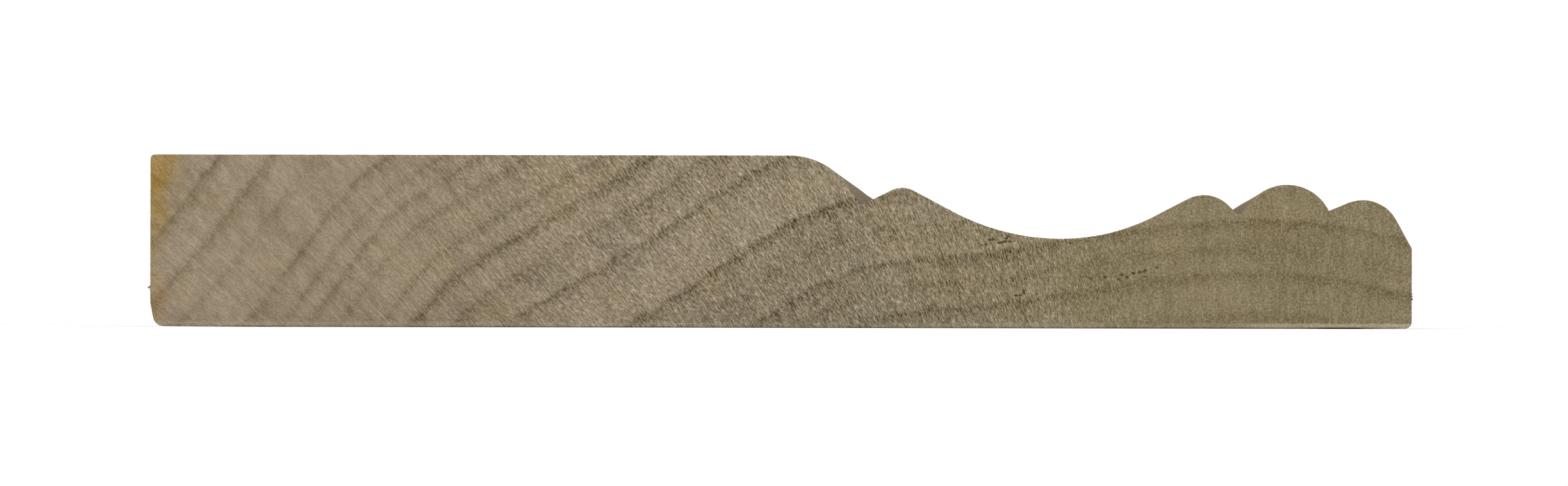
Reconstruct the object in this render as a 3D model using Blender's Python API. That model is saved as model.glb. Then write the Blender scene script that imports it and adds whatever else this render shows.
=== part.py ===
"""Moulded skirting board: one straight length of solid tulipwood, lying on its back.

The board is 5 1/2 by 3/4 inches in section and is cut square at both ends. In front of the flat
back come, from the floor up, a plain face, an ovolo with a quirk, an astragal, a wide cove, and
three beads with sharp notches between them. The last bead turns over into the top edge.

Frame, in metres: the back lies on z = 0 and the face looks up. +X runs from the edge that meets
the floor to the moulded top edge, +Y runs along the board, and the origin is the middle of the
back.
"""

import math

import bmesh
import bpy
from mathutils import Vector

INCH = 0.0254
MM = 0.001

# The sawn size, which a stranger would order it by
BOARD_HEIGHT = 5.5 * INCH
BOARD_THICKNESS = 0.75 * INCH
BOARD_LENGTH = 1.0

# Arrises along the length, as worn or eased on the real board
FRONT_ARRIS_RADIUS = 0.5 * MM
TOP_BACK_ARRIS_RADIUS = 0.7 * MM
FLOOR_BACK_ARRIS_RADIUS = 1.1 * MM
FLOOR_BACK_LEAN_LENGTH = 1.7 * MM
FLOOR_BACK_LEAN_ANGLE = 11.0

# Ovolo, which falls away from the plain face into a narrow quirk
OVOLO_RADIUS = 7.94 * MM
OVOLO_FALL_ANGLE = 57.0
OVOLO_FALL_LENGTH = 1.89 * MM
QUIRK_RADIUS = 0.4 * MM

# Astragal, a small rounded bead between the quirk and the cove
ASTRAGAL_RISE_ANGLE = 26.0
ASTRAGAL_RISE_LENGTH = 3.5 * MM
ASTRAGAL_RADIUS = 2.6 * MM

# Cove, a wide hollow that is a little tighter on its far side
COVE_FALL_ANGLE = 28.0
COVE_FALL_LENGTH = 4.93 * MM
COVE_FALL_RADIUS = 25.6 * MM
COVE_RISE_RADIUS = 22.5 * MM
COVE_RISE_ANGLE = 27.5
COVE_RISE_LENGTH = 4.1 * MM

# First bead, on the shoulder of the cove
FIRST_BEAD_RADIUS = 3.83 * MM
FIRST_BEAD_FALL_ANGLE = 45.0
FIRST_BEAD_FALL_LENGTH = 1.32 * MM
FIRST_NOTCH_RADIUS = 0.35 * MM

# Middle bead, the largest of the three
MIDDLE_BEAD_RISE_ANGLE = 51.0
MIDDLE_BEAD_RISE_LENGTH = 1.62 * MM
MIDDLE_BEAD_RADIUS = 5.18 * MM
MIDDLE_BEAD_FALL_ANGLE = 65.0
SECOND_NOTCH_RADIUS = 0.25 * MM

# Nosing bead, which turns over into the top edge
NOSING_RISE_ANGLE = 45.0
NOSING_FRONT_RADIUS = 4.7 * MM
NOSING_TOP_RADIUS = 4.15 * MM
NOSING_FALL_ANGLE = 61.0
NOSING_FALL_LENGTH = 3.5 * MM
NOSING_CORNER_RADIUS = 0.6 * MM

# An arc gets one facet for each of these steps of its turn, in degrees
ARC_STEP = 6.0
WELD_DISTANCE = 0.001 * MM
SHARP_ANGLE = 30.0

# Sawn and planed tulipwood: grey olive brown, matt
WOOD_COLOUR = (0.262, 0.211, 0.138, 1.0)
WOOD_ROUGHNESS = 0.72
WOOD_METALLIC = 0.0


class Outline:
    """A path of straights and tangent arcs, drawn by heading like a knife's grinding template."""

    def __init__(self, x: float, z: float, heading: float) -> None:
        """Start the path at a point, with a heading in degrees above +X."""
        self.points = [Vector((x, z))]
        self.heading = heading

    def line(self, length: float) -> None:
        """Go straight on for a length."""
        angle = math.radians(self.heading)
        step = Vector((math.cos(angle), math.sin(angle)))
        self.points.append(self.points[-1] + step * length)

    def arc(self, radius: float, heading: float) -> None:
        """Turn along an arc until the path has a new heading."""
        turn = heading - self.heading
        side = math.copysign(1.0, turn)
        steps = max(1, math.ceil(abs(turn) / ARC_STEP))
        start = math.radians(self.heading)
        centre = self.points[-1] + Vector((-math.sin(start), math.cos(start))) * side * radius
        for step in range(1, steps + 1):
            angle = math.radians(self.heading + turn * step / steps)
            out = Vector((math.sin(angle), -math.cos(angle))) * side * radius
            self.points.append(centre + out)
        self.heading = heading


def run_moulding(path: Outline) -> None:
    """Draw the moulded face from the end of the plain face to the top edge."""
    path.arc(OVOLO_RADIUS, -OVOLO_FALL_ANGLE)
    path.line(OVOLO_FALL_LENGTH)
    path.arc(QUIRK_RADIUS, ASTRAGAL_RISE_ANGLE)

    path.line(ASTRAGAL_RISE_LENGTH)
    path.arc(ASTRAGAL_RADIUS, -COVE_FALL_ANGLE)

    path.line(COVE_FALL_LENGTH)
    path.arc(COVE_FALL_RADIUS, 0.0)
    path.arc(COVE_RISE_RADIUS, COVE_RISE_ANGLE)
    path.line(COVE_RISE_LENGTH)

    path.arc(FIRST_BEAD_RADIUS, -FIRST_BEAD_FALL_ANGLE)
    path.line(FIRST_BEAD_FALL_LENGTH)
    path.arc(FIRST_NOTCH_RADIUS, MIDDLE_BEAD_RISE_ANGLE)

    path.line(MIDDLE_BEAD_RISE_LENGTH)
    path.arc(MIDDLE_BEAD_RADIUS, -MIDDLE_BEAD_FALL_ANGLE)
    path.arc(SECOND_NOTCH_RADIUS, NOSING_RISE_ANGLE)

    path.arc(NOSING_FRONT_RADIUS, 0.0)
    path.arc(NOSING_TOP_RADIUS, -NOSING_FALL_ANGLE)
    path.line(NOSING_FALL_LENGTH)
    path.arc(NOSING_CORNER_RADIUS, -90.0)


def moulding_run() -> float:
    """Width of the moulded face, measured up the board."""
    trial = Outline(0.0, 0.0, 0.0)
    run_moulding(trial)
    return trial.points[-1].x


def floor_wear_width() -> float:
    """How far the worn slope and arris of the floor edge reach in along the back."""
    angle = math.radians(FLOOR_BACK_LEAN_ANGLE)
    slope = FLOOR_BACK_LEAN_LENGTH * math.sin(angle)
    arris = FLOOR_BACK_ARRIS_RADIUS * math.cos(angle)
    return slope + arris


def section_points() -> list[Vector]:
    """Closed section of the board, from the floor edge over the face and round the back."""
    floor_edge = -BOARD_HEIGHT / 2
    top_edge = BOARD_HEIGHT / 2

    path = Outline(floor_edge, BOARD_THICKNESS - FRONT_ARRIS_RADIUS, 90.0)
    path.arc(FRONT_ARRIS_RADIUS, 0.0)
    path.points.append(Vector((top_edge - moulding_run(), BOARD_THICKNESS)))
    run_moulding(path)

    path.points.append(Vector((top_edge, TOP_BACK_ARRIS_RADIUS)))
    path.arc(TOP_BACK_ARRIS_RADIUS, -180.0)

    path.points.append(Vector((floor_edge + floor_wear_width(), 0.0)))
    path.arc(FLOOR_BACK_ARRIS_RADIUS, FLOOR_BACK_LEAN_ANGLE - 270.0)
    path.line(FLOOR_BACK_LEAN_LENGTH)
    return path.points


def wood_material() -> bpy.types.Material:
    """Plain wood finish in the board's overall colour."""
    material = bpy.data.materials.new("skirting_board_wood")
    material.use_nodes = True
    shader = material.node_tree.nodes["Principled BSDF"]
    shader.inputs["Base Color"].default_value = WOOD_COLOUR
    shader.inputs["Roughness"].default_value = WOOD_ROUGHNESS
    shader.inputs["Metallic"].default_value = WOOD_METALLIC
    return material


def section_curve() -> bpy.types.Object:
    """The section as a flat filled curve, extruded to the board's length along +Y."""
    points = section_points()
    curve = bpy.data.curves.new("section", "CURVE")
    curve.dimensions = "2D"
    curve.fill_mode = "BOTH"
    curve.extrude = BOARD_LENGTH / 2
    spline = curve.splines.new("POLY")
    spline.points.add(len(points) - 1)
    for control, point in zip(spline.points, points):
        control.co = (point.x, point.y, 0.0, 1.0)
    spline.use_cyclic_u = True

    section = bpy.data.objects.new("section", curve)
    section.rotation_euler = (math.radians(90.0), 0.0, 0.0)
    return section


def board_from(section: bpy.types.Object, collection: bpy.types.Collection) -> bpy.types.Object:
    """Turn the extruded section into one closed mesh with crisp ends and smooth mouldings."""
    collection.objects.link(section)
    graph = bpy.context.evaluated_depsgraph_get()
    mesh = bpy.data.meshes.new_from_object(section.evaluated_get(graph))
    mesh.name = "skirting_board"

    shell = bmesh.new()
    shell.from_mesh(mesh)
    bmesh.ops.remove_doubles(shell, verts=shell.verts, dist=WELD_DISTANCE)
    bmesh.ops.recalc_face_normals(shell, faces=shell.faces)
    shell.to_mesh(mesh)
    shell.free()
    mesh.shade_smooth()
    mesh.set_sharp_from_angle(angle=math.radians(SHARP_ANGLE))

    board = bpy.data.objects.new("skirting_board", mesh)
    board.matrix_world = section.matrix_world
    board.data.materials.clear()
    board.data.materials.append(wood_material())
    collection.objects.link(board)
    bpy.data.objects.remove(section, do_unlink=True)
    return board


def main() -> None:
    """Clear the scene and build the board."""
    for leftover in list(bpy.data.objects):
        bpy.data.objects.remove(leftover, do_unlink=True)
    collection = bpy.data.collections.new("Skirting board")
    bpy.context.scene.collection.children.link(collection)
    board_from(section_curve(), collection)


main()
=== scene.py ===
"""Looks of a moulded tulipwood skirting board, seen square on to its cut end.

The board lies on its back. The knife's profile is drawn again here in fine steps, run along the
length with the small wander of a real moulding, and closed by two sawn ends whose relief follows
the growth rings and rays. One solid wood material covers end grain and long grain alike, because
every colour in it is worked out from the place in the tree.
"""

import logging
import math
from dataclasses import dataclass, field
from enum import Enum
from typing import Any, Mapping, Sequence, Union

import bpy
import numpy as np
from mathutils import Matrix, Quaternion, Vector


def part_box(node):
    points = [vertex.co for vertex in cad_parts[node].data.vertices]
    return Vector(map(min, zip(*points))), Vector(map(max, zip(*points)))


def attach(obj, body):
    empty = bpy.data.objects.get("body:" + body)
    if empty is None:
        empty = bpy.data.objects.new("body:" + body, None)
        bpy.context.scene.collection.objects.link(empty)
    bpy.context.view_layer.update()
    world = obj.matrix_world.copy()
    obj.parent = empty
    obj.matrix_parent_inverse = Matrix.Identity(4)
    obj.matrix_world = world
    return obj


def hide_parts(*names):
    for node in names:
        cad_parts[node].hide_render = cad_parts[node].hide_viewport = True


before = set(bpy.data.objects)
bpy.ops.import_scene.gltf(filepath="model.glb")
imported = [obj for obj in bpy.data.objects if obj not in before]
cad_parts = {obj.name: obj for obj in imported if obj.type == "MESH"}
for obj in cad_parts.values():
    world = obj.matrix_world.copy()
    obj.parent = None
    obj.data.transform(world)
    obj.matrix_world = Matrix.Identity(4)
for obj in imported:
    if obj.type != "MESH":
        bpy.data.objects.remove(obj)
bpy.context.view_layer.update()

log = logging.getLogger("skirting_board")

MM = 0.001
NODE = "skirting_board"

# The darkest colour that the wood may have, in linear light
DARKEST = (0.008, 0.008, 0.008)

Pair = tuple[float, float]
Triple = tuple[float, float, float]
Colour = Triple


def paint(red: int, green: int, blue: int) -> Colour:
    """Turn a screen colour, 0 to 255, into linear light.

    Args:
        red: Red as it looks on a screen.
        green: Green as it looks on a screen.
        blue: Blue as it looks on a screen.

    Returns:
        The same colour in linear values.
    """
    def linear(value: int) -> float:
        """Undo the screen's gamma for one channel."""
        share = value / 255
        return share / 12.92 if share <= 0.04045 else ((share + 0.055) / 1.055) ** 2.4

    return linear(red), linear(green), linear(blue)


class End(Enum):
    """The two cut ends, by the sign of Y that they face."""

    NEAR = -1
    FAR = 1


class Wire:
    """One output socket of a node, on which Python's operators add Math nodes."""

    def __init__(self, graph: "Graph", socket: bpy.types.NodeSocket) -> None:
        """Wrap a socket of a graph."""
        self.graph = graph
        self.socket = socket

    def __add__(self, other: "Value") -> "Wire":
        """Add."""
        return self.graph.math("ADD", self, other)

    def __radd__(self, other: "Value") -> "Wire":
        """Add, with the number first."""
        return self.graph.math("ADD", other, self)

    def __sub__(self, other: "Value") -> "Wire":
        """Subtract."""
        return self.graph.math("SUBTRACT", self, other)

    def __rsub__(self, other: "Value") -> "Wire":
        """Subtract from a number."""
        return self.graph.math("SUBTRACT", other, self)

    def __mul__(self, other: "Value") -> "Wire":
        """Multiply."""
        return self.graph.math("MULTIPLY", self, other)

    def __rmul__(self, other: "Value") -> "Wire":
        """Multiply, with the number first."""
        return self.graph.math("MULTIPLY", other, self)

    def __truediv__(self, other: "Value") -> "Wire":
        """Divide."""
        return self.graph.math("DIVIDE", self, other)

    def __abs__(self) -> "Wire":
        """Take the size without the sign."""
        return self.graph.math("ABSOLUTE", self)


Value = Union[Wire, float]


class Graph:
    """The node tree of a material or a world, built by expressions."""

    def __init__(self, owner: Union[bpy.types.Material, bpy.types.World]) -> None:
        """Empty the owner's node tree.

        Args:
            owner: What the nodes belong to.
        """
        owner.use_nodes = True
        self.node_tree = owner.node_tree
        self.node_tree.nodes.clear()

    def add(self, kind: str, settings: Mapping[str, Any], inputs: Mapping[Any, Any],
            output: Union[int, str] = 0) -> Wire:
        """Add a node of any type.

        Args:
            kind: The node's type.
            settings: Properties that are set first, with "stops" and "interpolation" for a
                colour ramp.
            inputs: A value or a wire for each named or numbered socket.
            output: The socket to hand back.

        Returns:
            The chosen output.
        """
        node = self.node_tree.nodes.new(kind)
        for name, setting in settings.items():
            if name == "stops":
                self._set_stops(node.color_ramp, setting)
            elif name == "interpolation":
                node.color_ramp.interpolation = setting
            else:
                setattr(node, name, setting)
        for name, value in inputs.items():
            if isinstance(value, Wire):
                self.node_tree.links.new(value.socket, node.inputs[name])
            else:
                node.inputs[name].default_value = value
        outputs = node.outputs
        return Wire(self, outputs[output]) if len(outputs) else Wire(self, node.inputs[0])

    @staticmethod
    def _set_stops(ramp: bpy.types.ColorRamp, stops: Sequence[tuple[float, Colour]]) -> None:
        """Give a colour ramp its stops.

        Args:
            ramp: The ramp to fill.
            stops: Place and colour of each stop, from 0 to 1.
        """
        while len(ramp.elements) < len(stops):
            ramp.elements.new(1.0)
        for element, (place, colour) in zip(ramp.elements, stops):
            element.position = place
            element.color = (*colour, 1.0)

    def math(self, operation: str, first: Value, second: Value = 0.0) -> Wire:
        """Add a Math node on one or two values."""
        return self.add("ShaderNodeMath", {"operation": operation}, {0: first, 1: second})

    def ramp(self, value: Value, low: float, high: float, start: float = 0.0,
             stop: float = 1.0) -> Wire:
        """Ease from one value to another while the input crosses a range.

        Args:
            value: The input.
            low: Where the change begins.
            high: Where the change ends.
            start: The result below the range.
            stop: The result above the range.

        Returns:
            The eased value.
        """
        return self.add("ShaderNodeMapRange", {"interpolation_type": "SMOOTHSTEP"},
                        {"Value": value, 1: low, 2: high, 3: start, 4: stop})

    def noise(self, speckle: "Speckle", place: Wire) -> Wire:
        """Read a cloudy noise.

        Args:
            speckle: The noise.
            place: The coordinates, in millimetres.

        Returns:
            Noise between about -1 and 1.
        """
        seed = speckle.seed
        spot = self.add("ShaderNodeVectorMath", {"operation": "MULTIPLY_ADD"},
                        {0: place, 1: speckle.stretch, 2: (seed, seed * 1.7, seed * 0.6)})
        cloud = self.add("ShaderNodeTexNoise", {"noise_dimensions": "3D"},
                         {"Vector": spot, "Scale": 1.0, "Detail": speckle.detail,
                          "Roughness": speckle.roughness})
        return (cloud - 0.5) * 2.0

    def voronoi(self, place: Wire, stretch: Triple) -> Wire:
        """Distance to the nearest of some scattered points.

        Args:
            place: The coordinates, in millimetres.
            stretch: How many points stand in one millimetre along each axis.

        Returns:
            Distance, where 1 is about the usual gap between points.
        """
        spot = self.add("ShaderNodeVectorMath", {"operation": "MULTIPLY"},
                        {0: place, 1: stretch})
        return self.add("ShaderNodeTexVoronoi", {}, {"Vector": spot, "Scale": 1.0})

    def join(self, x: Value, y: Value, z: Value) -> Wire:
        """Put three numbers together as a vector."""
        return self.add("ShaderNodeCombineXYZ", {}, {0: x, 1: y, 2: z})

    def split(self, place: Wire) -> tuple[Wire, Wire, Wire]:
        """Take a vector apart into its three numbers."""
        outputs = self.add("ShaderNodeSeparateXYZ", {}, {0: place}).socket.node.outputs
        return Wire(self, outputs[0]), Wire(self, outputs[1]), Wire(self, outputs[2])

    def blend(self, share: Value, under: Any, over: Any) -> Wire:
        """Lay one colour over another.

        Args:
            share: How much of the upper colour shows.
            under: The lower colour.
            over: The upper colour.

        Returns:
            The blended colour.
        """
        colours = [c if isinstance(c, Wire) else (*c, 1.0) for c in (under, over)]
        return self.add("ShaderNodeMix", {"data_type": "RGBA"},
                        {0: share, 6: colours[0], 7: colours[1]}, output=2)

    def lift(self, colour: Wire, tone: Colour, amount: Wire) -> Wire:
        """Add some of a tone to a colour, so that its tint stays as its brightness changes.

        Args:
            colour: The colour.
            tone: What is added.
            amount: How much is added, or taken away where it is below 0.

        Returns:
            The lighter or darker colour, never quite black.
        """
        lit = self.add("ShaderNodeVectorMath", {"operation": "MULTIPLY_ADD"},
                       {0: tone, 1: amount, 2: colour})
        return self.add("ShaderNodeVectorMath", {"operation": "MAXIMUM"},
                        {0: lit, 1: DARKEST})


@dataclass(frozen=True)
class Speckle:
    """A cloudy noise, with how many of its blobs fit in two millimetres along each axis."""

    stretch: Triple
    seed: float
    detail: float = 2.0
    roughness: float = 0.5


@dataclass(frozen=True)
class Strength:
    """How strongly a texture shows on a cut end.

    It has one strength everywhere, which changes where the saw tore the wood and where it left
    it smooth. Smooth wood may also damp the texture by a share.
    """

    everywhere: float
    torn: float = 0.0
    smooth: float = 0.0
    damped: float = 0.0


@dataclass(frozen=True)
class Ring:
    """A growth ring, in millimetres.

    The wood darkens over the inner width up to the ring's line, clears over the outer width and
    may stay a little paler over the pale width after it.
    """

    radius: float
    strength: float
    inner: float = 2.0
    outer: float = 0.8
    paleness: float = 0.0
    pale_width: float = 2.2

    line_width: float = 0.4
    line_share: float = 0.20
    band_share: float = 0.72
    pale_edge: Pair = (0.2, 0.8)

    def shade(self, graph: Graph, radius: Wire) -> Wire:
        """Darkness of this ring.

        Args:
            graph: The graph to build in.
            radius: The warped radius.

        Returns:
            Darkness from 0 to about the ring's strength, below 0 where the ring is pale.
        """
        rise = graph.ramp(radius, self.radius - self.inner, self.radius)
        fall = graph.ramp(radius, self.radius, self.radius + self.outer, 1.0, 0.0)
        line = graph.ramp(abs(radius - self.radius), 0.0, self.line_width, 1.0, 0.0)
        shade = rise * rise * fall * self.band_share + line * self.line_share
        if self.paleness > 0.0:
            begins, full = (self.radius + edge for edge in self.pale_edge)
            pale = graph.ramp(radius, begins, full)
            gone = graph.ramp(radius, self.radius + self.pale_width * 0.5,
                              self.radius + self.pale_width, 1.0, 0.0)
            shade = shade - pale * gone * self.paleness
        return shade * self.strength


@dataclass(frozen=True)
class PoreRow:
    """A row of bold open pores along a ring, and where it starts and stops across the board."""

    radius: float
    start: float
    stop: float
    widths: Pair = (0.3, 0.75)
    start_fade: float = 2.0
    stop_fade: float = 1.0

    def share(self, graph: Graph, x: Wire, radius: Wire) -> Wire:
        """How much a place belongs to the row.

        Args:
            graph: The graph to build in.
            x: Place across the board.
            radius: The warped radius.

        Returns:
            A share from 0 to 1.
        """
        near = graph.ramp(abs(radius - self.radius), *self.widths, 1.0, 0.0)
        begun = graph.ramp(x, self.start, self.start + self.start_fade)
        left = graph.ramp(x, self.stop - self.stop_fade, self.stop, 1.0, 0.0)
        return near * begun * left


@dataclass(frozen=True)
class Stain:
    """A patch of colour that soaked in from the floor edge, in millimetres.

    It is solid up to the first depth in from the edge and gone at the second, and the same
    holds for the heights above and below its middle. The slope makes it shallower lower down.
    """

    colour: Colour
    strength: float
    depths: Pair
    ragged: float
    middle: float = 9.5
    heights: Pair = (20.0, 30.0)
    slope: float = 0.0

    def lay(self, graph: Graph, under: Wire, inward: Wire, z: Wire, edge: Wire) -> Wire:
        """Lay the stain over a colour.

        Args:
            graph: The graph to build in.
            under: The colour without the stain.
            inward: Distance in from the floor edge.
            z: Height above the back.
            edge: Noise that makes the stain's edge ragged.

        Returns:
            The colour with the stain.
        """
        depth = inward + (self.middle - z) * self.slope + edge * self.ragged
        patch = graph.ramp(depth, *self.depths, 1.0, 0.0)
        patch = patch * graph.ramp(abs(z - self.middle), *self.heights, 1.0, 0.0)
        return graph.blend(patch * self.strength, under, self.colour)


@dataclass(frozen=True)
class Tulipwood:
    """Bare tulipwood, in millimetres from the middle of the board's back.

    The colours are for a surface in full light. The pith lies below the back, towards the top
    edge, so the rings stand steep at the floor edge and lie flat at the beads.
    """

    pith_x: float = 44.8
    pith_z: float = -97.0
    mean_radius: float = 130.0
    half_length: float = 500.0
    half_width: float = 69.85
    end_skin: Pair = (0.4, 0.15)

    rings: tuple[Ring, ...] = (
        Ring(97.9, 0.18, 1.5, 0.6, 1.30, 4.2),
        Ring(102.45, 0.78, 1.5, 0.7, 0.08),
        Ring(105.4, 0.48, 1.8, 1.2),
        Ring(108.35, 1.00, 2.3, 0.6, 0.10),
        Ring(112.1, 0.34, 1.6, 1.0),
        Ring(115.95, 1.00, 1.7, 0.5, 0.28, 6.4),
        Ring(122.9, 0.92, 1.4, 0.4, 0.18, 2.0),
        Ring(126.9, 0.70, 3.0, 0.7),
        Ring(130.45, 1.10, 1.8, 1.1),
        Ring(133.5, 0.70, 1.5, 0.8),
        Ring(137.5, 0.58),
        Ring(140.2, 0.72, 1.4),
        Ring(142.5, 0.50, 1.2),
        Ring(145.7, 0.82, 1.6, 0.8, 0.04),
        Ring(151.0, 0.45),
        Ring(154.8, 0.98, 2.2, 1.0, 0.04),
        Ring(159.5, 1.05, 2.4, 0.7),
    )
    ring_fade: Speckle = Speckle((0.12, 0.004, 0.10), 23.0)
    ring_fade_depth: float = 0.8
    ring_blotch: Speckle = Speckle((1.1, 0.008, 1.3), 53.0)
    ring_colour_share: float = 0.62

    # Rings towards the top edge are blotchier and fainter, over these places round the pith
    blotchy_span: Pair = (-30.0, 5.0)
    blotch_depths: Pair = (0.5, 0.8)
    faint_span: Pair = (-35.0, -5.0)
    faintest: float = 0.74

    # How far the rings dip towards the pith, at places measured round it
    swell: tuple[Pair, ...] = (
        (-104.0, 3.2), (-95.0, 1.45), (-90.0, 0.4), (-86.5, 0.0), (-78.0, 0.6), (-70.0, 0.92),
        (-64.0, 0.8), (-58.0, 0.0), (-52.5, -0.65), (-47.0, -1.06), (-41.5, -0.95),
        (-34.0, 0.1), (-26.0, 1.0), (-17.6, 1.0), (2.6, -0.25), (17.3, -1.08), (29.0, -1.05))
    swell_low: float = -1.2
    swell_high: float = 3.4
    wander: Speckle = Speckle((0.035, 0.0030, 0.03), 11.0, 1.0)
    wander_depth: float = 5.0
    wobble: Speckle = Speckle((0.50, 0.010, 0.35), 5.0)
    wobble_depth: float = 0.42

    # Rays lean a little from the true radius, more so away from the floor edge
    ray_lean_floor: float = 0.02
    ray_lean: float = 0.19
    ray_lean_span: Pair = (-100.0, -60.0)

    # Where across the board the saw tore the end, hatched it with fibres or left it smooth
    torn_from: Pair = (-52.0, 0.0)
    torn_to: Pair = (22.0, 44.0)
    hatched_from: Pair = (-58.0, -24.0)
    hatched_to: Pair = (20.0, 40.0)
    smooth_from: Pair = (20.0, 44.0)

    rays: Speckle = Speckle((7.4, 0.02, 2.1), 41.0, 0.0)
    rays_strength: Strength = Strength(0.22, 1.06)
    rough: Speckle = Speckle((4.3, 0.02, 4.3), 17.0)
    rough_strength: Strength = Strength(0.42, 0.42, 0.38)
    broad: Speckle = Speckle((1.7, 0.02, 0.7), 29.0, 1.0)
    broad_strength: Strength = Strength(0.26, -0.18, damped=0.2)
    fibre: Speckle = Speckle((5.0, 0.02, 0.30), 73.0, 1.0)
    fibre_strength: Strength = Strength(0.16, -0.10, damped=1.0)
    hatched_strength: Strength = Strength(0.34, damped=1.0)
    mottle: Speckle = Speckle((0.55, 0.02, 1.7), 97.0, 3.0, 0.6)
    mottle_cut: Pair = (0.05, 0.5)
    mottle_strength: float = 0.20
    dark_grain: float = 0.65
    dark_grain_shift: float = 0.04

    streak: Speckle = Speckle((5.6, 0.02, 0.16), 59.0, 1.0)
    streak_cut: Pair = (0.24, 0.52)
    streak_strength: Strength = Strength(0.38, damped=0.7)
    streak_span: Pair = (-68.0, -38.0)
    streak_floor_share: float = 0.45
    fleck_rough_share: float = 0.5
    fleck_cut: Pair = (0.22, 0.62)
    fleck_strength: float = 0.24

    # Slow changes of light over the end, from the floor edge to the top edge
    cloud: Speckle = Speckle((0.10, 0.02, 0.13), 3.0, 3.0)
    cloud_strength: float = 0.16
    bands: Speckle = Speckle((0.60, 0.004, 0.07), 47.0, 3.0)
    bands_strength: Strength = Strength(0.25, smooth=-0.11)
    floor_glow_span: Pair = (-66.0, -20.0)
    floor_glow: Pair = (0.05, -0.02)
    hollow_span: Pair = (4.0, 16.0)
    hollow_glow: float = 0.08
    torn_glow: float = 0.06
    smooth_shade: float = 0.13
    pale_ring_glow: float = 0.55

    floor_side: Colour = paint(147, 132, 111)
    middle: Colour = paint(150, 136, 114)
    top_side: Colour = paint(138, 126, 98)
    side_places: Triple = (0.10, 0.42, 0.72)
    side_drift: float = 0.10
    tint: Speckle = Speckle((0.15, 0.02, 0.18), 91.0)
    warm: Colour = paint(149, 133, 103)
    warm_cut: Pair = (0.05, 0.5)
    warm_share: float = 0.6
    grey: Colour = paint(137, 128, 106)
    grey_cut: Pair = (-0.5, -0.05)
    grey_share: float = 0.5
    grey_middle: float = -5.0
    grey_reach: Pair = (12.0, 40.0)
    ring_line: Colour = paint(104, 92, 68)
    grain_tone: Colour = paint(138, 129, 114)

    stain_edge: Speckle = Speckle((0.5, 0.02, 0.35), 61.0, 3.0)
    stains: tuple[Stain, ...] = (
        Stain(paint(152, 125, 68), 0.85, (1.33, 4.73), 2.0, 19.0, (6.0, 10.5), 0.26),
        Stain(paint(152, 125, 68), 0.35, (0.2, 2.0), 0.8),
        Stain(paint(138, 108, 78), 0.45, (1.0, 2.4), 0.8, 2.9, (0.5, 1.9)),
    )

    # Painted light that lifts the shade along the edge that the board lies on, most near the top
    # edge
    painted_edge_light_colour: Colour = paint(178, 165, 140)
    painted_edge_light_noise: Speckle = Speckle((1.4, 0.02, 0.8), 83.0, 3.0, 0.7)
    painted_edge_light_ragged: float = 0.16
    painted_edge_light_height: float = 0.30
    painted_edge_light_widths: Pair = (0.10, 0.36)
    painted_edge_light_span: Pair = (48.0, 55.0)
    painted_edge_light_shares: Pair = (0.30, 0.92)

    pore: Colour = paint(74, 64, 46)
    fine_pores: Triple = (1.9, 0.02, 1.9)
    fine_pore_cut: Pair = (0.10, 0.24)
    fine_pore_share: float = 0.35
    pore_scatter: Speckle = Speckle((0.22, 0.02, 0.3), 71.0, 1.0)
    pore_scatter_cut: Pair = (-0.3, 0.5)
    pore_span: Pair = (-10.0, 30.0)
    bold_pores: Triple = (1.6, 0.02, 2.3)
    bold_pore_cut: Pair = (0.22, 0.44)
    bold_pore_share: float = 0.9
    pore_rows: tuple[PoreRow, ...] = (
        PoreRow(103.5, 24.0, 29.0), PoreRow(103.5, 33.0, 42.5), PoreRow(109.8, 19.5, 26.5))

    long_pale: Colour = paint(129, 114, 91)
    long_olive: Colour = paint(113, 102, 78)
    long_cloud: Speckle = Speckle((0.06, 0.003, 0.05), 7.0)
    long_cloud_cut: Pair = (-0.35, 0.35)
    long_figure: Speckle = Speckle((0.45, 0.006, 0.55), 13.0, 3.0)
    long_lines: Speckle = Speckle((3.2, 0.05, 3.2), 19.0, 2.0, 0.6)
    vessels: Speckle = Speckle((7.5, 0.36, 7.5), 37.0, 1.0)
    vessel_cut: Pair = (0.22, 0.50)
    long_ring_share: float = 0.6
    long_figure_strength: float = 0.17
    long_lines_strength: float = 0.23
    vessel_strength: float = 0.25
    ripple_scale: float = 0.16
    ripple_distortion: float = 0.6

    # Height of each texture in the relief of the ends and of the long faces
    rays_relief: float = 0.8
    rough_relief: float = 0.9
    streak_relief: float = 1.316
    fleck_relief: float = 0.6
    ring_relief: float = 0.3
    end_relief: Strength = Strength(0.45, 0.9)
    lines_relief: float = 0.35
    vessel_relief: float = 0.5
    ripple_relief: float = 0.12
    relief_strength: float = 0.85
    relief_metres: float = 0.00010

    end_roughness: float = 0.82
    long_roughness: float = 0.70
    gloss: float = 0.03


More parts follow.
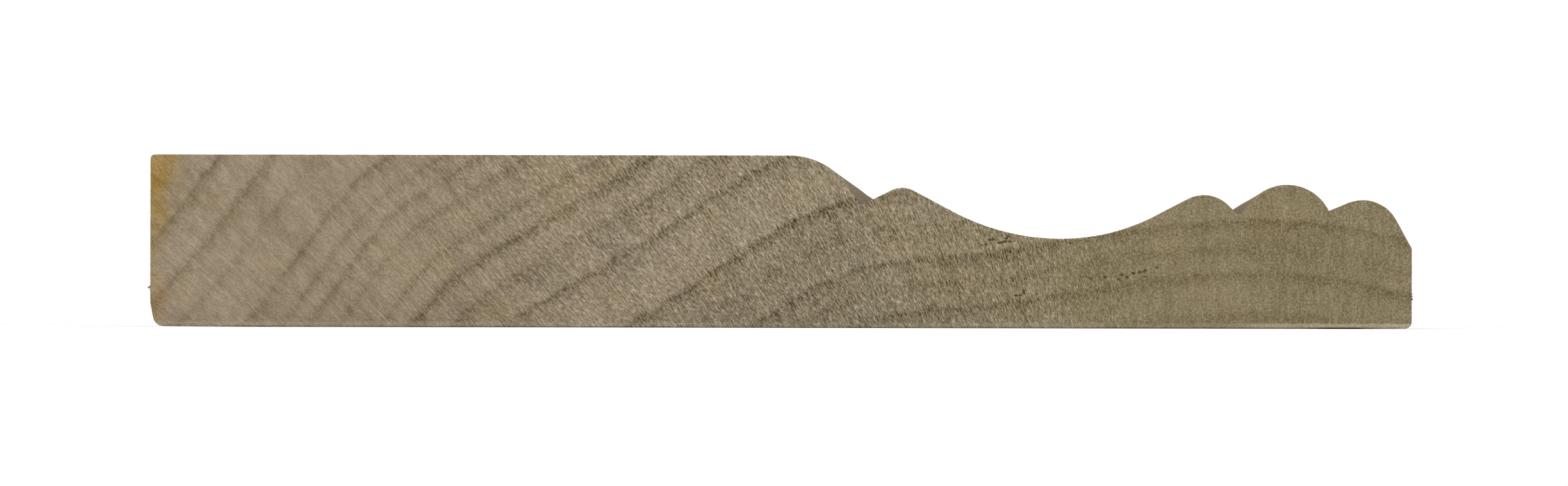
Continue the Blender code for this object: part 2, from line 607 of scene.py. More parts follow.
class WoodGraph(Graph):
    """Node tree of the tulipwood, which reads only the place on the object.

    It holds each point's place in the board (flat), in the tree (tree: round the pith, along the
    trunk and out from the pith) and by ray, and how far the saw tore the wood or left it smooth.
    """

    def __init__(self, wood: Tulipwood) -> None:
        """Make the material.

        Args:
            wood: The finish.
        """
        self.material = bpy.data.materials.new("tulipwood")
        super().__init__(self.material)
        self.wood = wood
        place = self.add("ShaderNodeTexCoord", {}, {}, output="Object")
        self.flat = self.add("ShaderNodeVectorMath", {"operation": "SCALE"},
                             {0: place, "Scale": 1 / MM})
        self.x, self.y, self.z = self.split(self.flat)

        across = self.x - wood.pith_x
        above = self.z - wood.pith_z
        true_radius = self.math("SQRT", across * across + above * above)
        self.around = self.math("ARCTAN2", across, above) * wood.mean_radius
        self.tree = self.join(self.around, self.y, true_radius)
        lean = self.ramp(self.around, *wood.ray_lean_span, wood.ray_lean_floor, wood.ray_lean)
        by_ray = self.around + (true_radius - wood.mean_radius) * lean
        self.ray = self.join(by_ray, self.y, true_radius)

        self.radius = self._warped(true_radius)
        self.rings = self._ring_shade()
        self.smooth = self.ramp(self.x, *wood.smooth_from)
        self.torn = (self.ramp(self.x, *wood.torn_from)
                     * self.ramp(self.x, *wood.torn_to, 1.0, 0.0))
        self._finish()

    def _finish(self) -> None:
        """Join the sawn ends and the planed faces in one shader."""
        wood = self.wood
        end = self.ramp(abs(self.y), *(wood.half_length - skin for skin in wood.end_skin))
        colour, relief = self._end_grain()
        long_colour, long_relief = self._long_grain()
        bump = self.add("ShaderNodeBump", {}, {
            "Strength": wood.relief_strength, "Distance": wood.relief_metres,
            "Height": relief * end + long_relief * (1.0 - end)})
        roughness = wood.long_roughness + (wood.end_roughness - wood.long_roughness) * end
        shader = self.add("ShaderNodeBsdfPrincipled", {}, {
            "Base Color": self.blend(end, long_colour, colour), "Roughness": roughness,
            "Normal": bump, "Specular IOR Level": wood.gloss})
        self.add("ShaderNodeOutputMaterial", {}, {"Surface": shader})

    def _strength(self, strength: Strength) -> Wire:
        """Work out a texture's strength from how torn and how smooth the wood is."""
        wide = strength.everywhere + self.torn * strength.torn + self.smooth * strength.smooth
        return wide * (1.0 - self.smooth * strength.damped)

    def _warped(self, true_radius: Wire) -> Wire:
        """Give the radius the slow wander of real rings and the finer wobble along them.

        Args:
            true_radius: Distance from the pith.

        Returns:
            The radius that the rings are read from.
        """
        wood = self.wood
        first, last = wood.swell[0][0], wood.swell[-1][0]
        reach = wood.swell_high - wood.swell_low
        stops = [((place - first) / (last - first), ((dip - wood.swell_low) / reach,) * 3)
                 for place, dip in wood.swell]
        dip = self.add("ShaderNodeValToRGB", {"stops": stops, "interpolation": "CARDINAL"},
                       {"Fac": (self.around - first) / (last - first)})
        away = self.ramp(self.y, -wood.half_length, 0.0)
        wander = self.noise(wood.wander, self.tree) * away * wood.wander_depth
        wobble = self.noise(wood.wobble, self.tree) * wood.wobble_depth
        return true_radius + dip * reach + wood.swell_low + wander + wobble

    def _ring_shade(self) -> Wire:
        """Darkness of the growth-ring lines, which fade in and out along their length.

        Returns:
            Darkness from 0 to about 1, a little below 0 in the pale wood after a ring.
        """
        wood = self.wood
        total: Value = 0.0
        for ring in wood.rings:
            total = total + ring.shade(self, self.radius)
        fade = self.noise(wood.ring_fade, self.tree) * wood.ring_fade_depth
        blotch_depth = self.ramp(self.around, *wood.blotchy_span, *wood.blotch_depths)
        blotch = self.noise(wood.ring_blotch, self.tree) * blotch_depth
        faint = self.ramp(self.around, *wood.faint_span, 1.0, wood.faintest)
        return total * (1.0 + fade + blotch) * faint

    def _end_base(self, cloud: Wire) -> Wire:
        """Colour of the sawn ends before any grain.

        Args:
            cloud: Slow noise over the end.

        Returns:
            The colour, which turns from grey brown at the floor edge to olive at the beads.
        """
        wood = self.wood
        sides = (wood.floor_side, wood.middle, wood.top_side)
        share = (self.x + wood.half_width) / (2 * wood.half_width) + cloud * wood.side_drift
        base = self.add("ShaderNodeValToRGB", {"stops": list(zip(wood.side_places, sides))},
                        {"Fac": share})
        tint = self.noise(wood.tint, self.flat)
        base = self.blend(self.ramp(tint, *wood.warm_cut) * wood.warm_share, base, wood.warm)
        grey = self.ramp(tint, *wood.grey_cut, wood.grey_share, 0.0)
        grey = grey * self.ramp(abs(self.x - wood.grey_middle), *wood.grey_reach, 1.0, 0.0)
        return self.blend(grey, base, wood.grey)

    def _end_grain(self) -> tuple[Wire, Wire]:
        """Colour and relief of the sawn ends.

        Returns:
            The colour, and the height that feeds the bump.
        """
        wood, x = self.wood, self.x
        rays = self.noise(wood.rays, self.ray)
        rough = self.noise(wood.rough, self.flat)
        hatched = self.ramp(x, *wood.hatched_from) * self.ramp(x, *wood.hatched_to, 1.0, 0.0)
        fibre_strength = (self._strength(wood.fibre_strength)
                          + hatched * self._strength(wood.hatched_strength))
        mottle = self.ramp(self.noise(wood.mottle, self.tree), *wood.mottle_cut) * self.smooth
        grain = (rays * self._strength(wood.rays_strength)
                 + rough * self._strength(wood.rough_strength)
                 + self.noise(wood.broad, self.ray) * self._strength(wood.broad_strength)
                 + self.noise(wood.fibre, self.ray) * fibre_strength
                 - mottle * wood.mottle_strength)
        grain = self.math("MAXIMUM", grain, grain * wood.dark_grain - wood.dark_grain_shift)

        streak = self.ramp(self.noise(wood.streak, self.ray), *wood.streak_cut)
        streak = streak * self.ramp(x, *wood.streak_span, wood.streak_floor_share, 1.0)
        streak = streak * self._strength(wood.streak_strength)
        fleck = rays + rough * wood.fleck_rough_share
        fleck = self.ramp(fleck, *wood.fleck_cut) * self.torn
        cloud = self.noise(wood.cloud, self.flat)
        bands = self.noise(wood.bands, self.ray) * self._strength(wood.bands_strength)
        pale = 0.0 - self.math("MINIMUM", self.rings, 0.0)
        light = (self.ramp(x, *wood.floor_glow_span, *wood.floor_glow)
                 + self.ramp(x, *wood.hollow_span) * wood.hollow_glow
                 + self.torn * wood.torn_glow - self.smooth * wood.smooth_shade
                 + grain + streak + fleck * wood.fleck_strength
                 + cloud * wood.cloud_strength + bands + pale * wood.pale_ring_glow)

        colour = self._end_base(cloud)
        colour = self.blend(self.rings * wood.ring_colour_share, colour, wood.ring_line)
        colour = self.lift(self._stains_and_edge_light(colour), wood.grain_tone, light)
        relief = (rays * wood.rays_relief + rough * wood.rough_relief
                  + streak * wood.streak_relief + fleck * wood.fleck_relief
                  - self.rings * wood.ring_relief)
        return self._pored(colour), relief * self._strength(wood.end_relief)

    def _stains_and_edge_light(self, colour: Wire) -> Wire:
        """Lay on the stains that the photographed end shows, and a pale band of painted light
        along the edge that the board lies on.

        Args:
            colour: The colour without them.

        Returns:
            The colour with them.
        """
        wood = self.wood
        edge = self.noise(wood.stain_edge, self.flat)
        for stain in wood.stains:
            colour = stain.lay(self, colour, self.x + wood.half_width, self.z, edge)

        # Painted light: a pale band that lifts the shade along the edge that the board lies on
        height = self.z - wood.painted_edge_light_height
        height = height + self.noise(wood.painted_edge_light_noise, self.flat) * wood.painted_edge_light_ragged
        painted_edge_light = self.ramp(abs(height), *wood.painted_edge_light_widths, 1.0, 0.0)
        share = self.ramp(self.x, *wood.painted_edge_light_span, *wood.painted_edge_light_shares)
        return self.blend(painted_edge_light * share, colour, wood.painted_edge_light_colour)

    def _pored(self, colour: Wire) -> Wire:
        """Open the pores: many fine ones towards the top edge, and rows of bold ones.

        Args:
            colour: The colour without them.

        Returns:
            The colour with them.
        """
        wood = self.wood
        scatter = self.ramp(self.noise(wood.pore_scatter, self.flat), *wood.pore_scatter_cut)
        scatter = scatter * self.ramp(self.x, *wood.pore_span)
        fine = self.voronoi(self.flat, wood.fine_pores)
        fine = self.ramp(fine, *wood.fine_pore_cut, 1.0, 0.0) * scatter
        colour = self.blend(fine * wood.fine_pore_share, colour, wood.pore)

        bold = self.voronoi(self.flat, wood.bold_pores)
        bold = self.ramp(bold, *wood.bold_pore_cut, 1.0, 0.0) * wood.bold_pore_share
        for row in wood.pore_rows:
            share = bold * row.share(self, self.x, self.radius)
            colour = self.blend(share, colour, wood.pore)
        return colour

    def _long_grain(self) -> tuple[Wire, Wire]:
        """Colour and relief of the planed faces, whose grain runs along the board.

        Returns:
            The colour, and the height that feeds the bump.
        """
        wood = self.wood
        lines = self.noise(wood.long_lines, self.tree)
        vessels = self.ramp(self.noise(wood.vessels, self.tree), *wood.vessel_cut)
        cloud = self.ramp(self.noise(wood.long_cloud, self.tree), *wood.long_cloud_cut)
        colour = self.blend(cloud, wood.long_pale, wood.long_olive)
        colour = self.blend(self.rings * wood.long_ring_share, colour, wood.ring_line)
        light = (self.noise(wood.long_figure, self.tree) * wood.long_figure_strength
                 + lines * wood.long_lines_strength - vessels * wood.vessel_strength)
        ripple = self.add("ShaderNodeTexWave", {"bands_direction": "Y"},
                          {"Vector": self.flat, "Scale": wood.ripple_scale,
                           "Distortion": wood.ripple_distortion, "Detail": 1.0})
        relief = (lines * wood.lines_relief - vessels * wood.vessel_relief
                  + ripple * wood.ripple_relief)
        return self.lift(colour, wood.grain_tone, light), relief


@dataclass
class Pen:
    """A path of straights and tangent arcs in millimetres, drawn by heading."""

    x: float
    z: float
    heading: float
    spacing: float = 0.45
    share_of_radius: float = 0.2
    points: list[Pair] = field(default_factory=list)

    def __post_init__(self) -> None:
        """Put down the first point."""
        self.points.append((self.x, self.z))

    def line(self, length: float) -> None:
        """Go straight on.

        Args:
            length: How far to go.
        """
        steps = max(1, math.ceil(length / self.spacing))
        angle = math.radians(self.heading)
        start_x, start_z = self.points[-1]
        for step in range(1, steps + 1):
            done = length * step / steps
            self.points.append((start_x + done * math.cos(angle),
                                start_z + done * math.sin(angle)))

    def arc(self, radius: float, heading: float) -> None:
        """Turn along an arc to a new heading, in steps that suit its radius.

        Args:
            radius: The arc's radius.
            heading: The new heading, in degrees.
        """
        turn = heading - self.heading
        side = math.copysign(1.0, turn)
        step_length = min(self.spacing, radius * self.share_of_radius)
        steps = max(2, math.ceil(radius * math.radians(abs(turn)) / step_length))
        start = math.radians(self.heading)
        start_x, start_z = self.points[-1]
        centre_x = start_x - side * radius * math.sin(start)
        centre_z = start_z + side * radius * math.cos(start)
        for step in range(1, steps + 1):
            angle = math.radians(self.heading + turn * step / steps)
            self.points.append((centre_x + side * radius * math.sin(angle),
                                centre_z - side * radius * math.cos(angle)))
        self.heading = heading


@dataclass(frozen=True)
class Section:
    """The knife's profile, in millimetres and degrees, fitted into the board's own box."""

    width: float
    thickness: float

    front_arris: float = 0.5
    top_back_arris: float = 0.7
    floor_back_arris: float = 1.1
    floor_lean_length: float = 1.7
    floor_lean_angle: float = 11.0

    ovolo_radius: float = 7.94
    ovolo_fall: float = 57.0
    ovolo_line: float = 1.89
    quirk_radius: float = 0.4
    astragal_rise: float = 26.0
    astragal_line: float = 3.5
    astragal_radius: float = 2.6
    cove_fall: float = 28.0
    cove_fall_line: float = 4.93
    cove_fall_radius: float = 25.6
    cove_rise_radius: float = 22.5
    cove_rise: float = 27.5
    cove_rise_line: float = 4.1
    first_bead_radius: float = 3.83
    first_bead_fall: float = 45.0
    first_bead_line: float = 1.32
    first_notch_radius: float = 0.35
    middle_bead_rise: float = 51.0
    middle_bead_line: float = 1.62
    middle_bead_radius: float = 5.18
    middle_bead_fall: float = 65.0
    second_notch_radius: float = 0.25
    nosing_rise: float = 45.0
    nosing_front_radius: float = 4.7
    nosing_top_radius: float = 4.15
    nosing_fall: float = 61.0
    nosing_line: float = 3.5
    nosing_corner_radius: float = 0.6

    def mould(self, pen: Pen) -> None:
        """Draw the moulded face, from the end of the plain face to the top edge.

        Args:
            pen: The pen, at the end of the plain face and heading up the board.
        """
        pen.arc(self.ovolo_radius, -self.ovolo_fall)
        pen.line(self.ovolo_line)
        pen.arc(self.quirk_radius, self.astragal_rise)
        pen.line(self.astragal_line)
        pen.arc(self.astragal_radius, -self.cove_fall)
        pen.line(self.cove_fall_line)
        pen.arc(self.cove_fall_radius, 0.0)
        pen.arc(self.cove_rise_radius, self.cove_rise)
        pen.line(self.cove_rise_line)
        pen.arc(self.first_bead_radius, -self.first_bead_fall)
        pen.line(self.first_bead_line)
        pen.arc(self.first_notch_radius, self.middle_bead_rise)
        pen.line(self.middle_bead_line)
        pen.arc(self.middle_bead_radius, -self.middle_bead_fall)
        pen.arc(self.second_notch_radius, self.nosing_rise)
        pen.arc(self.nosing_front_radius, 0.0)
        pen.arc(self.nosing_top_radius, -self.nosing_fall)
        pen.line(self.nosing_line)
        pen.arc(self.nosing_corner_radius, -90.0)

    def face(self) -> np.ndarray:
        """The front, from the floor edge's flat to the top edge's flat.

        Returns:
            Points as rows of X and Z, evenly spaced but closer on tight curves.
        """
        trial = Pen(0.0, 0.0, 0.0)
        self.mould(trial)
        plain = self.width - trial.points[-1][0] - self.front_arris
        pen = Pen(-self.width / 2, self.thickness - self.front_arris, 90.0)
        pen.arc(self.front_arris, 0.0)
        pen.line(plain)
        self.mould(pen)
        return np.array(pen.points)

    def back(self) -> np.ndarray:
        """The back, from the floor edge's flat to the top edge's flat.

        Returns:
            Points as rows of X and Z.
        """
        lean = math.radians(self.floor_lean_angle)
        wear = self.floor_lean_length * math.sin(lean) + self.floor_back_arris * math.cos(lean)
        pen = Pen(self.width / 2, self.top_back_arris, -90.0)
        pen.arc(self.top_back_arris, -180.0)
        pen.line(self.width - self.top_back_arris - wear)
        pen.arc(self.floor_back_arris, self.floor_lean_angle - 270.0)
        pen.line(self.floor_lean_length)
        return np.array(pen.points)[::-1]


def along(points: np.ndarray, shares: np.ndarray) -> np.ndarray:
    """Read a path at given shares of its length.

    Args:
        points: The path.
        shares: Shares from 0 to 1.

    Returns:
        One point for each share.
    """
    steps = np.hypot(*np.diff(points, axis=0).T)
    length = np.concatenate([[0.0], np.cumsum(steps)])
    spots = shares * length[-1]
    return np.column_stack([np.interp(spots, length, points[:, k]) for k in (0, 1)])


@dataclass(frozen=True)
class Clouds:
    """Smooth random values over a plane, the same on every run."""

    seed: int
    cells: int = 64

    def read(self, u: np.ndarray, v: np.ndarray) -> np.ndarray:
        """Read the values.

        Args:
            u: First coordinate, one blob to each unit.
            v: Second coordinate, one blob to each unit.

        Returns:
            Values between -1 and 1.
        """
        grid = np.random.default_rng(self.seed).uniform(-1.0, 1.0, (self.cells, self.cells))
        iu, iv = np.floor(u).astype(int), np.floor(v).astype(int)
        fu, fv = u - iu, v - iv
        fu, fv = fu * fu * (3 - 2 * fu), fv * fv * (3 - 2 * fv)
        corner = [[grid[(iu + a) % self.cells, (iv + b) % self.cells] for b in (0, 1)]
                  for a in (0, 1)]
        low = corner[0][0] * (1 - fv) + corner[0][1] * fv
        high = corner[1][0] * (1 - fv) + corner[1][1] * fv
        return low * (1 - fu) + high * fu


@dataclass(frozen=True)
class Nick:
    """A shallow dent in the outline of the near end, in millimetres."""

    x: float
    z: float
    depth: float
    half_width: float
    reach: float

    def depths(self, rim_points: np.ndarray, behind: float) -> np.ndarray:
        """Depth of the dent at points of one ring round the board.

        Args:
            rim_points: X and Z round the outline.
            behind: How far the ring is behind the near end.

        Returns:
            Depth at each point.
        """
        away = np.hypot(rim_points[:, 0] - self.x, rim_points[:, 1] - self.z)
        return self.depth * np.exp(-((away / self.half_width) ** 2)) * math.exp(
            -behind / self.reach)


@dataclass(frozen=True)
class BakeMap:
    """Where each part of the surface lies on the flat map, which runs from 0 to 1 both ways.

    Each cut end has a strip of its own at true shape. Above them come a narrow row for the torn
    fibres, and the long faces unrolled.
    """

    width: float
    margin: float = 0.006
    near_strip: float = 0.006
    far_strip: float = 0.152
    fibre_row: float = 0.2945
    fibre_step: float = 0.012
    fibre_size: float = 0.004
    sides_from: float = 0.302
    sides_height: float = 0.69

    @property
    def reach(self) -> float:
        """Length of the map between its margins."""
        return 1.0 - 2 * self.margin

    def end(self, grid: np.ndarray, end: End) -> np.ndarray:
        """Lay a cut end on its strip.

        Args:
            grid: X and Z of the end's points, by row and column.
            end: Which end.

        Returns:
            A place on the map for each point, in one list.
        """
        strip = self.near_strip if end is End.NEAR else self.far_strip
        scale = self.reach / self.width
        return np.column_stack([(grid[..., 0].ravel() + self.width / 2) * scale + self.margin,
                                grid[..., 1].ravel() * scale + strip])

    def across(self, length: np.ndarray) -> np.ndarray:
        """Place the distance round the outline."""
        return self.sides_from + length / length[-1] * self.sides_height

    def down(self, stations: np.ndarray) -> np.ndarray:
        """Place the distance along the board."""
        share = (stations - stations[0]) / (stations[-1] - stations[0])
        return self.margin + share * self.reach

    def fibre(self, corners: int, number: int) -> np.ndarray:
        """Give a small face of a torn fibre a spot of its own.

        Args:
            corners: How many corners the face has.
            number: Number of the face among all of the fibres' faces.

        Returns:
            A place on the map for each corner.
        """
        turns = np.arange(corners) * 2 * math.pi / corners
        middle = 2 * self.margin + self.fibre_step * number
        return np.column_stack([middle + self.fibre_size * np.cos(turns),
                                self.fibre_row + self.fibre_size * np.sin(turns)])


@dataclass(frozen=True)
class Tuft:
    """A few torn fibres that stand off an edge of the near end, in millimetres."""

    x: float
    z: float
    lean: float
    length: float
    width: float
    fibres: int
    depth: float = 0.25
    sides: int = 6

    def cones(self, rng: np.random.Generator) -> list[np.ndarray]:
        """Make the fibres as slim cones that are rooted inside the wood.

        Args:
            rng: Source of the small differences between fibres.

        Returns:
            For each fibre, its base ring and its tip as the last row, relative to the end.
        """
        shapes = []
        for k in range(self.fibres):
            share = (k + 0.5) / self.fibres - 0.5
            angle = math.radians(self.lean + rng.uniform(-14, 14))
            ahead = np.array([math.cos(angle), 0.0, math.sin(angle)])
            aside = np.array([-math.sin(angle), 0.0, math.cos(angle)])
            deep = np.array([0.0, 1.0, 0.0])
            root = np.array([self.x, self.depth, self.z]) + aside * share * self.width
            thick = self.width / self.fibres * rng.uniform(0.7, 1.0)
            turns = np.arange(self.sides) * 2 * math.pi / self.sides
            ring = [root + thick * (aside * math.cos(t) + deep * 0.7 * math.sin(t))
                    for t in turns]
            tip = root + ahead * self.length * rng.uniform(0.6, 1.0)
            shapes.append(np.array(ring + [tip]))
        return shapes


@dataclass
class SkirtingBoard:
    """The whole board as one mesh: a run moulding, two sawn ends and a few torn fibres."""

    low: Vector
    high: Vector
    wood: Tulipwood

    rows: int = 44
    stations: int = 34
    end_arris: float = 0.10
    wander: float = 0.05
    ragged: float = 0.035
    saw_relief: float = 0.045
    near_stations: tuple[float, ...] = (0.5, 1.4, 4.0, 12.0)
    first_station: float = 30.0
    end_wear: float = 10.0
    sharp_angle: float = 38.0
    tuft_seed: int = 5

    # Slow wander along the board and fine ragged wear round its ends, in cells to a millimetre
    wander_clouds: Clouds = Clouds(53)
    wander_cells: Pair = (0.011, 0.02)
    wander_start: float = 9.0
    ragged_clouds: Clouds = Clouds(67)
    ragged_cells: float = 1.6

    # Relief of a cut end: grain, broad hollows and the saw's arcs about a far centre
    grain_seed: int = 7
    grain_cells: Pair = (1.1, 0.6)
    grain_start: float = 40.0
    broad_seed: int = 19
    broad_cells: Pair = (0.08, 0.15)
    broad_start: float = 30.0
    arc_seed: int = 31
    arc_cells: float = 0.7
    saw_centre_x: float = 40.0
    saw_centre_z: float = -150.0
    relief_shares: Triple = (0.45, 0.35, 0.4)
    relief_level: float = 0.6

    nicks: tuple[Nick, ...] = (
        Nick(-69.85, 10.7, 0.16, 0.35, 0.8),
        Nick(62.2, 0.0, 0.17, 2.6, 3.0),
    )
    tufts: tuple[Tuft, ...] = (
        Tuft(-69.75, 4.25, 200.0, 0.55, 0.55, 4),
        Tuft(69.74, 3.55, 0.0, 0.30, 0.85, 3),
        Tuft(69.76, 7.05, 6.0, 0.16, 0.80, 3),
    )

    @property
    def bake_map(self) -> BakeMap:
        """The flat map, at the board's width in millimetres."""
        return BakeMap((self.high.x - self.low.x) / MM)

    def build(self) -> bpy.types.Object:
        """Build, dress and register the board.

        Returns:
            The board's object.
        """
        section = Section((self.high.x - self.low.x) / MM, (self.high.z - self.low.z) / MM)
        columns = self._grid(section)
        verts, faces, maps = self._shell(columns)
        self._add_tufts(verts, faces, maps)

        mesh = bpy.data.meshes.new("board")
        mesh.from_pydata([tuple(v) for v in np.array(verts) * MM], [], faces)
        mesh.update()
        layer = mesh.uv_layers.new(name="OFBake")
        layer.data.foreach_set("uv", np.concatenate(maps).ravel())
        mesh.shade_smooth()
        mesh.set_sharp_from_angle(angle=math.radians(self.sharp_angle))
        mesh.materials.append(WoodGraph(self.wood).material)

        board = bpy.data.objects.new("moulded_board", mesh)
        bpy.context.scene.collection.objects.link(board)
        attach(board, "root")
        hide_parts(NODE)
        return board

    def _grid(self, section: Section) -> np.ndarray:
        """Fill the section with a grid whose rim is the exact outline.

        Args:
            section: The profile.

        Returns:
            X and Z of each grid point, by row from the back and column from the floor edge.
        """
        face, back = section.face(), section.back()
        share = (face[:, 0] - face[0, 0]) / (face[-1, 0] - face[0, 0])
        base = along(back, share)
        rise = np.linspace(0.0, 1.0, self.rows)[:, None]
        floor_edge = base[0] * (1 - rise) + face[0] * rise
        top_edge = base[-1] * (1 - rise) + face[-1] * rise
        u, v = share[None, :, None], rise[:, :, None]
        ruled = (1 - v) * base[None] + v * face[None]
        sides = (1 - u) * floor_edge[:, None] + u * top_edge[:, None]
        corners = ((1 - v) * ((1 - u) * base[0] + u * base[-1])
                   + v * ((1 - u) * face[0] + u * face[-1]))
        return ruled + sides - corners

    def _rim(self, count: int) -> list[tuple[int, int]]:
        """Rows and columns of the rim, once round from the back of the floor edge.

        Args:
            count: Number of columns.

        Returns:
            Row and column of each rim point.
        """
        last = self.rows - 1
        bottom = [(0, c) for c in range(count)]
        right = [(r, count - 1) for r in range(1, last)]
        top = [(last, c) for c in range(count - 1, -1, -1)]
        left = [(r, 0) for r in range(last - 1, 0, -1)]
        return bottom + right + top + left

    def _stations(self) -> np.ndarray:
        """Places along the length, close together near the ends.

        Returns:
            Y in millimetres, from just behind the near end to just before the far end.
        """
        half = self.wood.half_length
        near = np.array([self.end_arris, *self.near_stations])
        first = self.first_station
        middle = np.linspace(first, 2 * half - first, self.stations)
        return np.concatenate([near, middle, 2 * half - near[::-1]]) - half

    def _end_relief(self, grid: np.ndarray, end: End) -> np.ndarray:
        """Relief of the sawn surface: the saw's shallow arcs and the grain's own texture.

        Args:
            grid: X and Z of the end's points.
            end: Which end.

        Returns:
            Depth below the end's plane at each point, in millimetres.
        """
        x, z = grid[..., 0], grid[..., 1]
        across, above = x - self.wood.pith_x, z - self.wood.pith_z
        radius = np.hypot(across, above)
        around = np.arctan2(across, above) * self.wood.mean_radius
        grain = Clouds(self.grain_seed + end.value).read(
            around * self.grain_cells[0] + self.grain_start, radius * self.grain_cells[1])
        broad = Clouds(self.broad_seed + end.value).read(
            x * self.broad_cells[0] + self.broad_start, z * self.broad_cells[1])
        saw = np.hypot(x + self.saw_centre_x * end.value, z - self.saw_centre_z)
        arcs = Clouds(self.arc_seed + end.value).read(
            saw * self.arc_cells, np.full_like(saw, 0.5))
        parts = zip(self.relief_shares, (grain, broad, arcs))
        return self.saw_relief * (sum(share * part for share, part in parts)
                                  + self.relief_level)

    def _shell(self, grid: np.ndarray) -> tuple[list, list, list]:
        """Join the two ends and the long faces into one closed surface.

        Args:
            grid: X and Z of the section's grid.

        Returns:
            Points, faces, and the bake map's corners for each face.
        """
        rows, count = grid.shape[:2]
        rim = self._rim(count)
        half = self.wood.half_length
        verts: list = []
        faces: list = []
        maps: list = []

        rim_points = np.array([grid[r, c] for r, c in rim])
        step = np.roll(rim_points, -1, axis=0) - np.roll(rim_points, 1, axis=0)
        out = np.column_stack([step[:, 1], -step[:, 0]])
        out /= np.linalg.norm(out, axis=1)[:, None]
        length = np.concatenate([[0.0], np.cumsum(
            np.hypot(*np.diff(np.vstack([rim_points, rim_points[:1]]), axis=0).T))])

        starts = {}
        for end in End:
            plane = grid.copy()
            for (r, c), aim in zip(rim, out):
                plane[r, c] -= aim * self.end_arris
            depth = self._end_relief(grid, end)
            starts[end] = len(verts)
            for r in range(rows):
                for c in range(count):
                    y = end.value * (half - depth[r, c])
                    verts.append((plane[r, c, 0], y, plane[r, c, 1]))
            self._end_faces(grid, end, starts[end], faces, maps)

        stations = self._stations()
        wave = self.wander_clouds.read(
            stations[:, None] * self.wander_cells[0] + self.wander_start,
            length[None, :-1] * self.wander_cells[1])
        rings = [[starts[End.NEAR] + r * count + c for r, c in rim]]
        for s, y in enumerate(stations):
            fade = min(1.0, (half - abs(y)) / self.end_wear)
            fuzz = self.ragged_clouds.read(length[:-1] * self.ragged_cells,
                                           np.full(len(rim), 0.5 + s))
            shift = self.wander * wave[s] * fade - self.ragged * (1 - fade) * np.abs(fuzz)
            for nick in self.nicks:
                shift = shift - nick.depths(rim_points, y + half)
            spots = rim_points + out * shift[:, None]
            spots[:, 1] = np.maximum(spots[:, 1], 0.0)
            rings.append(list(range(len(verts), len(verts) + len(rim))))
            verts.extend((px, y, pz) for px, pz in spots)
        rings.append([starts[End.FAR] + r * count + c for r, c in rim])
        self._side_faces(rings, np.concatenate([[-half], stations, [half]]), length, faces,
                         maps)
        return verts, faces, maps

    def _end_faces(self, grid: np.ndarray, end: End, start: int, faces: list,
                   maps: list) -> None:
        """Add an end's faces, with a strip of the bake map to themselves.

        Args:
            grid: X and Z of the end's points.
            end: Which end.
            start: Index of the end's first point.
            faces: Faces so far.
            maps: Bake map so far.
        """
        rows, count = grid.shape[:2]
        flat = self.bake_map.end(grid, end)
        for r in range(rows - 1):
            for c in range(count - 1):
                quad = [r * count + c, r * count + c + 1, (r + 1) * count + c + 1,
                        (r + 1) * count + c]
                if end is End.FAR:
                    quad.reverse()
                faces.append([start + k for k in quad])
                maps.append(flat[quad])

    def _side_faces(self, rings: list, stations: np.ndarray, length: np.ndarray, faces: list,
                    maps: list) -> None:
        """Add the long faces between the rings of points.

        Args:
            rings: Point indices of each ring.
            stations: Y of each ring.
            length: Distance round the outline at each point.
            faces: Faces so far.
            maps: Bake map so far.
        """
        across = self.bake_map.across(length)
        down = self.bake_map.down(stations)
        count = len(rings[0])
        for k in range(len(rings) - 1):
            for c in range(count):
                d = (c + 1) % count
                faces.append([rings[k][d], rings[k][c], rings[k + 1][c], rings[k + 1][d]])
                maps.append(np.array([[down[k], across[c + 1]], [down[k], across[c]],
                                      [down[k + 1], across[c]],
                                      [down[k + 1], across[c + 1]]]))

    def _add_tufts(self, verts: list, faces: list, maps: list) -> None:
        """Add the torn fibres at the near end's edges.

        Args:
            verts: Points so far.
            faces: Faces so far.
            maps: Bake map so far.
        """
        rng = np.random.default_rng(self.tuft_seed)
        number = 0
        for tuft in self.tufts:
            for cone in tuft.cones(rng):
                start, sides = len(verts), tuft.sides
                for px, py, pz in cone:
                    verts.append((px, py - self.wood.half_length, pz))
                base = [start + k for k in range(sides - 1, -1, -1)]
                flanks = [[start + k, start + (k + 1) % sides, start + sides]
                          for k in range(sides)]
                for face in [base] + flanks:
                    faces.append(face)
                    maps.append(self.bake_map.fibre(len(face), number))
                    number += 1


@dataclass(frozen=True)
class Softbox:
    """A soft rectangular light, with its places in metres from the foot of the cut end."""

    name: str
    place: Triple
    target: Triple
    size: Pair
    power: float

    def hang(self, foot: Vector) -> None:
        """Hang the light.

        Args:
            foot: The foot of the cut end.
        """
        data = bpy.data.lights.new(self.name, "AREA")
        data.shape = "RECTANGLE"
        data.size, data.size_y = self.size
        data.energy = self.power
        light = bpy.data.objects.new(self.name, data)
        light.location = foot + Vector(self.place)
        beam = Vector(self.target) - Vector(self.place)
        light.rotation_euler = beam.to_track_quat("-Z", "Y").to_euler()
        bpy.context.scene.collection.objects.link(light)


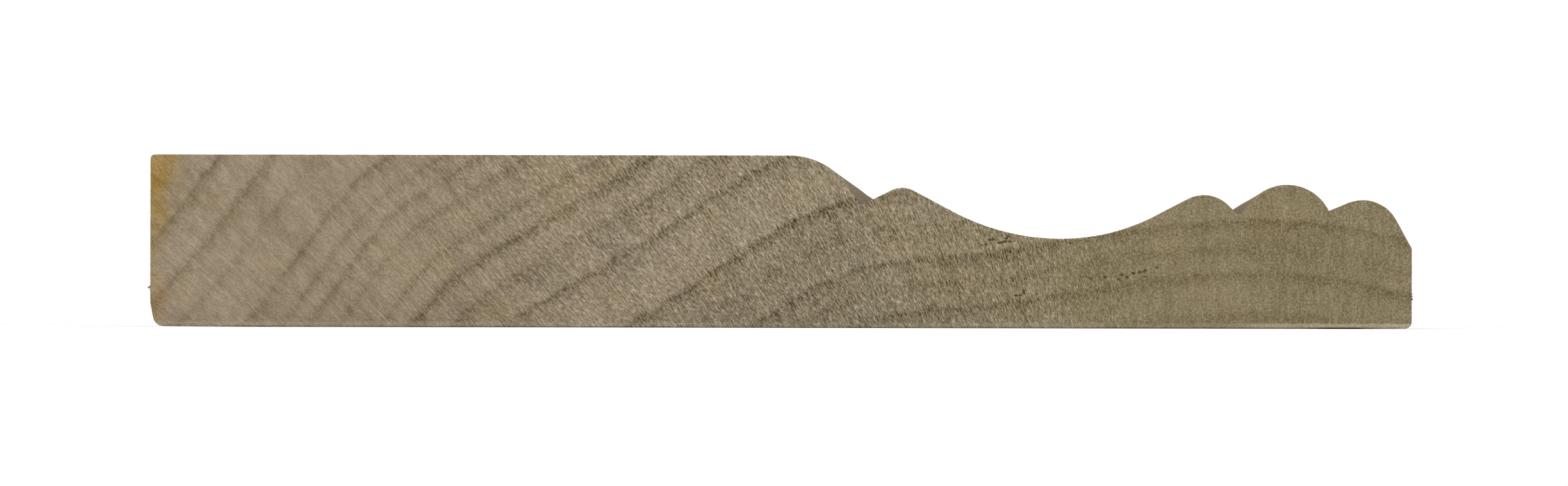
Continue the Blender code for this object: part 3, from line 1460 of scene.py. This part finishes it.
@dataclass(frozen=True)
class Studio:
    """Pale floor, soft white light and the camera that looks along the board."""

    distance: float = 2.1
    frame_width: float = 0.17362
    roll: float = 0.115
    vanishing_x: float = 0.0292
    eye_height: float = 0.0005
    aim_x: float = 0.00035
    aim_z: float = 0.00935
    floor_size: float = 4.0
    floor_drop: float = 0.00005
    floor_colour: Colour = (0.78, 0.78, 0.775)
    floor_roughness: float = 1.0
    room_light: float = 0.62
    backdrop_light: float = 1.01
    lights: tuple[Softbox, ...] = (
        Softbox("front_light", (-0.9, -2.2, 1.5), (0.0, 0.0, 0.0), (1.8, 1.8), 13.0),
        Softbox("overhead_light", (0.0, 0.9, 2.4), (0.0, 0.9, 0.0), (2.6, 7.0), 85.0),
    )
    sensor_width: float = 36.0
    clip: Pair = (0.05, 50.0)

    def build(self, end_y: float) -> None:
        """Set up everything that isn't the object.

        Args:
            end_y: Y of the cut end that the camera faces.
        """
        self._floor()
        self._world()
        for light in self.lights:
            light.hang(Vector((0.0, end_y, 0.0)))
        self._camera(end_y)

    def _floor(self) -> None:
        """Lay the floor."""
        half = self.floor_size / 2
        mesh = bpy.data.meshes.new("floor")
        corners = [(-half, -half), (half, -half), (half, half), (-half, half)]
        mesh.from_pydata([(x, y, -self.floor_drop) for x, y in corners], [], [(0, 1, 2, 3)])
        material = bpy.data.materials.new("pale_floor")
        graph = Graph(material)
        shader = graph.add("ShaderNodeBsdfPrincipled", {}, {
            "Base Color": (*self.floor_colour, 1.0), "Roughness": self.floor_roughness,
            "Specular IOR Level": 0.0})
        graph.add("ShaderNodeOutputMaterial", {}, {"Surface": shader})
        mesh.materials.append(material)
        floor = bpy.data.objects.new("floor", mesh)
        bpy.context.scene.collection.objects.link(floor)

    def _world(self) -> None:
        """Light the scene from all round, with a white backdrop for the camera."""
        world = bpy.data.worlds.new("studio")
        graph = Graph(world)
        white = (1.0, 1.0, 1.0, 1.0)
        around = graph.add("ShaderNodeBackground", {}, {"Color": white,
                                                        "Strength": self.room_light})
        backdrop = graph.add("ShaderNodeBackground", {}, {"Color": white,
                                                          "Strength": self.backdrop_light})
        path = graph.add("ShaderNodeLightPath", {}, {}).socket.node.outputs
        seen = Wire(graph, path["Is Camera Ray"])
        mixed = graph.add("ShaderNodeMixShader", {}, {0: seen, 1: around, 2: backdrop})
        graph.add("ShaderNodeOutputWorld", {}, {"Surface": mixed})
        bpy.context.scene.world = world
        bpy.context.scene.view_settings.view_transform = "Standard"

    def _camera(self, end_y: float) -> None:
        """Stand the camera where lines along the board meet at the photograph's own point.

        Args:
            end_y: Y of the cut end that the camera faces.
        """
        data = bpy.data.cameras.new("camera")
        place = Vector((self.vanishing_x, end_y - self.distance, self.eye_height))
        aim = Vector((self.aim_x, end_y, self.aim_z))
        data.sensor_width = self.sensor_width
        data.lens = data.sensor_width * (aim - place).length / self.frame_width
        data.clip_start, data.clip_end = self.clip
        camera = bpy.data.objects.new("camera", data)
        look = (aim - place).to_track_quat("-Z", "Y")
        roll = Quaternion((0.0, 0.0, 1.0), math.radians(self.roll))
        camera.location = place
        camera.rotation_mode = "QUATERNION"
        camera.rotation_quaternion = look @ roll
        bpy.context.scene.collection.objects.link(camera)
        bpy.context.scene.camera = camera


def main() -> None:
    """Build the board and the studio, and report each piece."""
    logging.basicConfig(level=logging.INFO, format="%(name)s: %(message)s")
    low, high = (Vector(corner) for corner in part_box(NODE))
    board = SkirtingBoard(low, high, Tulipwood()).build()
    log.info("%s has %d faces", board.name, len(board.data.polygons))
    Studio().build(low.y)
    log.info("studio is ready")


if __name__ == "__main__":
    main()
